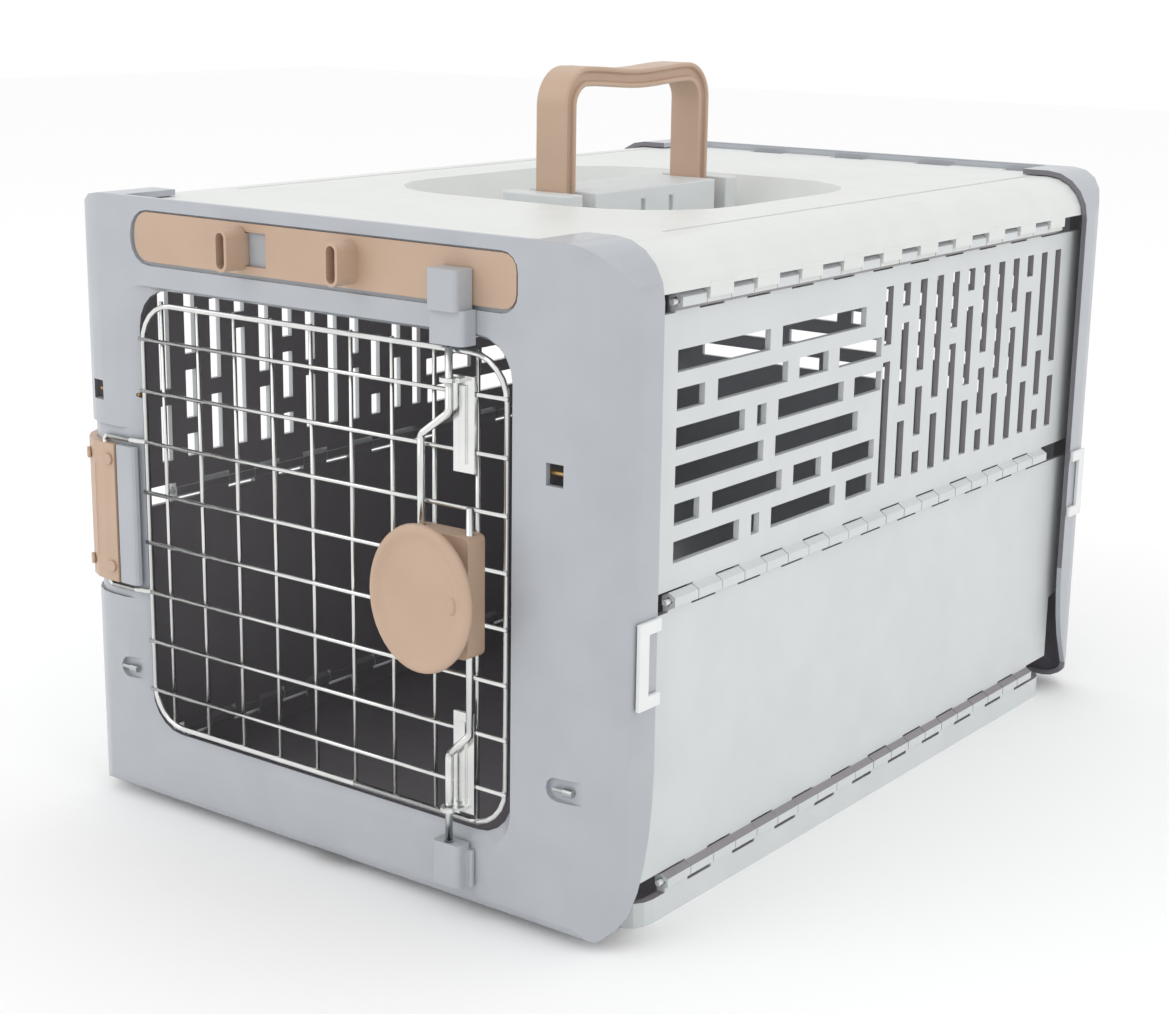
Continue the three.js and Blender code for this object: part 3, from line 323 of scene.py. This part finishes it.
def softened(node, width):
    """A merged copy of a moulded part with rounded edges, width in millimetres."""
    shape = bmesh.new()
    shape.from_mesh(frame["nodes"][node].data)
    bmesh.ops.remove_doubles(shape, verts=shape.verts, dist=SAME_PLACE)
    if node not in VENTED:
        bmesh.ops.dissolve_limit(shape, angle_limit=SAME_PLANE, verts=shape.verts, edges=shape.edges)
    # faces that look into the cabin are marked for painted shade
    if node in SHADE_PAINTED_PARTS:
        mark_painted_shade(shape)
    hand_over(shape, f"{node}_moulded", node, width * MM, turn_out=False, smooth=node not in FLAT)


for node, width in SOFT_EDGES.items():
    softened(node, width)
print("softened", len(SOFT_EDGES))

# %% [markdown]
# ## Drawing a wire
# Real wire is drawn straight and bent round a pin. The same two steps make it here: a round face is
# extruded along the straight runs, and spun about the pin's centre in each bend. The bend's centre
# lies square to the run that comes in, on the side that the wire turns to.

# %% Wire from straight runs and spun bends
BEND_STEP = radians(15)
STRAIGHT = 1e-4
THICK_SIDES = 14


def wire(shape, points, radius, bend=0.0, sides=12):
    """Adds a wire through the points to a bmesh; bend is the radius of its corners."""
    points = [Vector(p) for p in points]
    along = (points[1] - points[0]).normalized()
    turn = Vector((0, 0, 1)).rotation_difference(along).to_matrix().to_4x4()
    ring = bmesh.ops.create_circle(shape, cap_ends=True, segments=sides, radius=radius,
                                   matrix=Matrix.Translation(points[0]) @ turn)
    face = ring["verts"][0].link_faces[0]
    at = points[0]
    for i in range(1, len(points)):
        last = i == len(points) - 1
        after = along if last else (points[i + 1] - points[i]).normalized()
        angle = along.angle(after)
        target = points[i] - along * (bend * tan(angle / 2))
        drawn = bmesh.ops.extrude_face_region(shape, geom=[face])["geom"]
        moved = [v for v in drawn if isinstance(v, bmesh.types.BMVert)]
        bmesh.ops.translate(shape, verts=moved, vec=target - at)
        face = next(f for f in drawn if isinstance(f, bmesh.types.BMFace))
        at = target
        if angle > STRAIGHT:
            across = (after - along * after.dot(along)).normalized()
            axis = along.cross(after).normalized()
            steps = max(2, round(angle / BEND_STEP))
            spun = bmesh.ops.spin(shape, geom=[face], cent=target + across * bend, axis=axis,
                                  angle=angle, steps=steps)["geom_last"]
            face = next(f for f in spun if isinstance(f, bmesh.types.BMFace))
            at = points[i] + after * (bend * tan(angle / 2))
        along = after


# %% [markdown]
# ## The wire door
# Nine uprights stand behind eight cross wires, and one thicker wire runs round them with bent corners.
# Two of the cross wires run on past the frame and come together in the rod that the door swings on.
# Every place is counted inwards from the door's own box in the frame.

# %% Door
UPRIGHTS, CROSSINGS = 9, 8
PITCH_X, PITCH_Z = 25 * MM, 25.9 * MM
WIRE_R, FRAME_R, ROD_R = 1.05 * MM, 1.4 * MM, 1.3 * MM
FRAME_CORNER, ROD_CORNER = 20 * MM, 2.6 * MM
EDGE_RIGHT, EDGE_LEFT = 17 * MM, 13 * MM      # from the outer uprights to the frame wire
EDGE_TOP, EDGE_BOTTOM = 18 * MM, 17.5 * MM    # from the outer cross wires to it
UPRIGHT_TAIL = 1.6 * MM                       # how far wires run on past the frame wire
CROSS_TAIL_LEFT, CROSS_TAIL_RIGHT = 2 * MM, 1.2 * MM
LAYER = 1.6 * MM                              # from the uprights forward to the cross wires
ROD_STEP_X, ROD_STEP_Y = 9 * MM, 1.8 * MM     # the run from the frame wire to the rod's own line
SEAM_X, SEAM_GAP = 20 * MM, 0.1 * MM          # where the frame wire's two ends meet
ROD_ABOVE, ROD_BELOW = 2, 5                   # the cross wires that become the rod
CORNER_MARGIN = 1.04                          # the CAD rod is faceted, so its box is this much larger

door_low, door_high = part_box("door_mesh")
frame_right = door_high.x - FRAME_R
first_x = frame_right - EDGE_RIGHT - PITCH_X * (UPRIGHTS - 1)
frame_left = first_x - EDGE_LEFT
frame_top = door_high.z - UPRIGHT_TAIL
first_z = frame_top - EDGE_TOP
frame_bottom = first_z - PITCH_Z * (CROSSINGS - 1) - EDGE_BOTTOM
upright_y = door_high.y - WIRE_R
cross_y = upright_y - LAYER
loop_y = (upright_y + cross_y) / 2
rod_x = door_low.x + ROD_R * CORNER_MARGIN
rod_y = cross_y - ROD_STEP_Y

upright_ends = frame_bottom - UPRIGHT_TAIL, frame_top + UPRIGHT_TAIL
cross_ends = frame_left - CROSS_TAIL_LEFT, frame_right + CROSS_TAIL_RIGHT

door = bmesh.new()
for i in range(UPRIGHTS):
    wire(door, [(first_x + i * PITCH_X, upright_y, z) for z in upright_ends], WIRE_R)
for j in range(CROSSINGS):
    wire(door, [(x, cross_y, first_z - j * PITCH_Z) for x in cross_ends], WIRE_R)
loop = [(SEAM_X, frame_bottom), (frame_left, frame_bottom), (frame_left, frame_top), (frame_right, frame_top),
        (frame_right, frame_bottom), (SEAM_X + SEAM_GAP, frame_bottom)]
wire(door, [(x, loop_y, z) for x, z in loop], FRAME_R, FRAME_CORNER, THICK_SIDES)
upper_z, lower_z = first_z - ROD_ABOVE * PITCH_Z, first_z - ROD_BELOW * PITCH_Z
bend_x = frame_left - ROD_STEP_X
wire(door, [(frame_left, cross_y, upper_z), (bend_x, rod_y, upper_z), (rod_x, rod_y, upper_z),
            (rod_x, rod_y, lower_z), (bend_x, rod_y, lower_z), (frame_left, cross_y, lower_z)],
     ROD_R, ROD_CORNER)
hand_over(door, "door_wires", "door_mesh")
print("door from", [round(v, 4) for v in door_low], "to", [round(v, 4) for v in door_high])

# %% [markdown]
# ## The latch rods
# Each rod is one wire with a jog, so that both can end in line although they start on opposite sides
# of the knob.

# %% Rods
JOG_CORNER = 4 * MM
UPPER_JOG, LOWER_JOG = (0.226, 0.238), (0.092, 0.080)    # from and to heights, counted away from the knob


def latch_rod(name, node, start_side, jog):
    """A rod between the top and bottom of its CAD box, with a jog between two heights."""
    jog_from, jog_to = jog
    low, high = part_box(node)
    radius = (high.y - low.y) / 2 / CORNER_MARGIN
    y = (low.y + high.y) / 2
    near, far = (low.x, high.x) if start_side < 0 else (high.x, low.x)
    start_x = near - start_side * radius
    tip_x = far + start_side * radius
    start_z, tip_z = (low.z, high.z) if start_side < 0 else (high.z, low.z)
    rod = bmesh.new()
    wire(rod, [(start_x, y, start_z), (start_x, y, jog_from), (tip_x, y, jog_to), (tip_x, y, tip_z)],
         radius, JOG_CORNER, THICK_SIDES)
    hand_over(rod, name, node)


latch_rod("upper_rod_drawn", "upper_rod", -1, UPPER_JOG)
latch_rod("lower_rod_drawn", "lower_rod", 1, LOWER_JOG)
print("rods with jogs at", UPPER_JOG, LOWER_JOG)

# %% [markdown]
# ## The knob
# The knob is a shallow oval dish with a raised rim. It is a turned shape made oval: half of its
# outline is spun a full turn about the shaft, and the round dish is then stretched in height. The
# shaft and the hub behind it are spun on their own, because a stretched shaft couldn't turn.

# %% Knob
# share of the half width, and millimetres behind the front: the dish, its rim, then the back
DISH_OUTLINE = [(0, 2.4), (0.70, 2.2), (0.80, 1.7), (0.87, 0.5), (0.91, 0), (0.96, 0.3), (0.99, 1.2),
                (1, 2.4), (0.985, 4.3), (0.95, 5), (0, 5)]
HUB_R, HUB_FRONT, HUB_BACK = 12 * MM, 4.6 * MM, 13 * MM
SHAFT_R = 4.3 * MM
DOT_R, DOT_SHARE, DOT_SHAPE = 2.6 * MM, 0.62, (1, 0.5, 1.6, 1)
TURNING_STEPS = 48

knob_low, knob_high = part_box("latch_knob")
knob_x, knob_z = (knob_low.x + knob_high.x) / 2, (knob_low.z + knob_high.z) / 2
dish_r, dish_h = (knob_high.x - knob_low.x) / 2, (knob_high.z - knob_low.z) / 2


def turned(shape, outline):
    """Spins an outline of (radius, depth behind the front) about the knob's axis."""
    corners = [shape.verts.new((knob_x + r, knob_low.y + depth, knob_z)) for r, depth in outline]
    edges = [shape.edges.new(pair) for pair in zip(corners, corners[1:])]
    bmesh.ops.spin(shape, geom=corners + edges, cent=(knob_x, 0, knob_z), axis=(0, 1, 0), angle=2 * pi,
                   steps=TURNING_STEPS, use_merge=True)
    bmesh.ops.remove_doubles(shape, verts=shape.verts, dist=1e-6)


dish = bmesh.new()
turned(dish, [(share * dish_r, depth * MM) for share, depth in DISH_OUTLINE])
about_axis = Matrix.Translation((-knob_x, 0, -knob_z))
bmesh.ops.scale(dish, verts=dish.verts, vec=(1, 1, dish_h / dish_r), space=about_axis)
shaft = bmesh.new()
shaft_end = knob_high.y - knob_low.y
turned(shaft, [(0, HUB_FRONT), (HUB_R, HUB_FRONT), (HUB_R, HUB_BACK), (SHAFT_R, HUB_BACK),
               (SHAFT_R, shaft_end), (0, shaft_end)])
shaft_data = bpy.data.meshes.new("shaft")
shaft.to_mesh(shaft_data)
shaft.free()
dish.from_mesh(shaft_data)
dish_floor = DISH_OUTLINE[0][1] * MM
dot_at = Matrix.Translation((knob_x + DOT_SHARE * dish_r, knob_low.y + dish_floor, knob_z))
bmesh.ops.create_uvsphere(dish, u_segments=16, v_segments=10, radius=DOT_R,
                          matrix=dot_at @ Matrix.Diagonal(DOT_SHAPE))
hand_over(dish, "latch_knob_turned", "latch_knob")
print("knob", round(dish_r * 2000), "by", round(dish_h * 2000), "mm")

# %% [markdown]
# ## The handle
# The handle is one band with a channel along each side, which keeps a thick moulding from sinking as
# it cools. Its section is drawn once as a face, extruded up one leg, spun round each corner and
# extruded across, and the grip then dips a little in the middle.

# %% Handle
handle_low, handle_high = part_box("handle")
BAND_T, CORNER_R, SADDLE = 10 * MM, 20 * MM, 2.2 * MM
BAND_EDGE = 0.9 * MM
CORNER_STEPS, GRIP_STEPS, BOSS_SIDES = 14, 12, 40
# shares of the half width and of the thickness: flat front, channel, flat back, channel
SECTION = [(-1, 0), (1, 0), (1, 0.24), (0.72, 0.30), (0.72, 0.70), (1, 0.76), (1, 1), (-1, 1), (-1, 0.76),
           (-0.72, 0.70), (-0.72, 0.30), (-1, 0.24)]
half_x = (handle_high.x - handle_low.x) / 2
pivot_z = handle_low.z + half_x
band = bmesh.new()
face = band.faces.new([band.verts.new((u * half_x, handle_low.y + v * BAND_T, pivot_z)) for u, v in SECTION])


def push(shape, front, vec, steps=1):
    """Extrudes a face in equal steps and returns the face at the end."""
    for _ in range(steps):
        made = bmesh.ops.extrude_face_region(shape, geom=[front])["geom"]
        moved = [v for v in made if isinstance(v, bmesh.types.BMVert)]
        bmesh.ops.translate(shape, verts=moved, vec=Vector(vec) / steps)
        front = next(f for f in made if isinstance(f, bmesh.types.BMFace))
    return front


def corner(shape, front, at):
    """Spins a face a quarter turn about an X axis through a point."""
    made = bmesh.ops.spin(shape, geom=[front], cent=at, axis=(-1, 0, 0), angle=pi / 2, steps=CORNER_STEPS)
    return next(f for f in made["geom_last"] if isinstance(f, bmesh.types.BMFace))


corner_z = handle_high.z - CORNER_R
face = push(band, face, (0, 0, corner_z - pivot_z))
face = corner(band, face, (0, handle_low.y + CORNER_R, corner_z))
face = push(band, face, (0, handle_high.y - handle_low.y - 2 * CORNER_R, 0), GRIP_STEPS)
face = corner(band, face, (0, handle_high.y - CORNER_R, corner_z))
face = push(band, face, (0, 0, pivot_z - corner_z))
mid_y, half_y = (handle_low.y + handle_high.y) / 2, (handle_high.y - handle_low.y) / 2 - CORNER_R
for v in band.verts:
    share = abs(v.co.y - mid_y) / half_y
    if v.co.z > corner_z and share < 1:
        v.co.z -= SADDLE * cos(share * pi / 2) ** 2
for y in (handle_low.y + BAND_T / 2, handle_high.y - BAND_T / 2):
    lie_along_y = Matrix.Translation((0, y, pivot_z)) @ Matrix.Rotation(pi / 2, 4, "X")
    bmesh.ops.create_cone(band, cap_ends=True, segments=BOSS_SIDES, radius1=half_x, radius2=half_x,
                          depth=BAND_T, matrix=lie_along_y)
hand_over(band, "handle_band", "handle", BAND_EDGE, smooth=False)
print("handle rises to", round(handle_high.z, 3))

# %% [markdown]
# ## Pins
# The pins are round bars with slightly chamfered ends. A cone primitive with equal radii is a round
# bar, and a bevel on its two end rings gives the chamfer. The two low screws are softened copies.

# %% Pins and low screws
PIN_SIDES = 20
PIN_EDGE, SCREW_EDGE_MM = 0.25 * MM, 0.2


def round_bar(node, axis):
    """A round bar that fills its CAD box along one axis."""
    low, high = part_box(node)
    centre, size = (low + high) / 2, high - low
    turn = Matrix.Rotation(pi / 2, 4, "Y") if axis == 0 else Matrix.Rotation(pi / 2, 4, "X")
    radius = min(size[i] for i in range(3) if i != axis) / 2
    bar = bmesh.new()
    bmesh.ops.create_cone(bar, cap_ends=True, segments=PIN_SIDES, radius1=radius, radius2=radius,
                          depth=size[axis], matrix=Matrix.Translation(centre) @ turn)
    hand_over(bar, f"{node}_round", node, PIN_EDGE)


for node in ("catch_pin_right", "catch_pin_left", "front_pivot_pin", "rear_pivot_pin"):
    round_bar(node, 0)
for level in ("base", "mid", "top"):
    for side in ("right", "left"):
        round_bar(f"{level}_hinge_pin_{side}", 1)
for end in ("front", "rear"):
    round_bar(f"handle_pin_{end}", 1)
for side in ("right", "left"):
    softened(f"low_screw_{side}", SCREW_EDGE_MM)
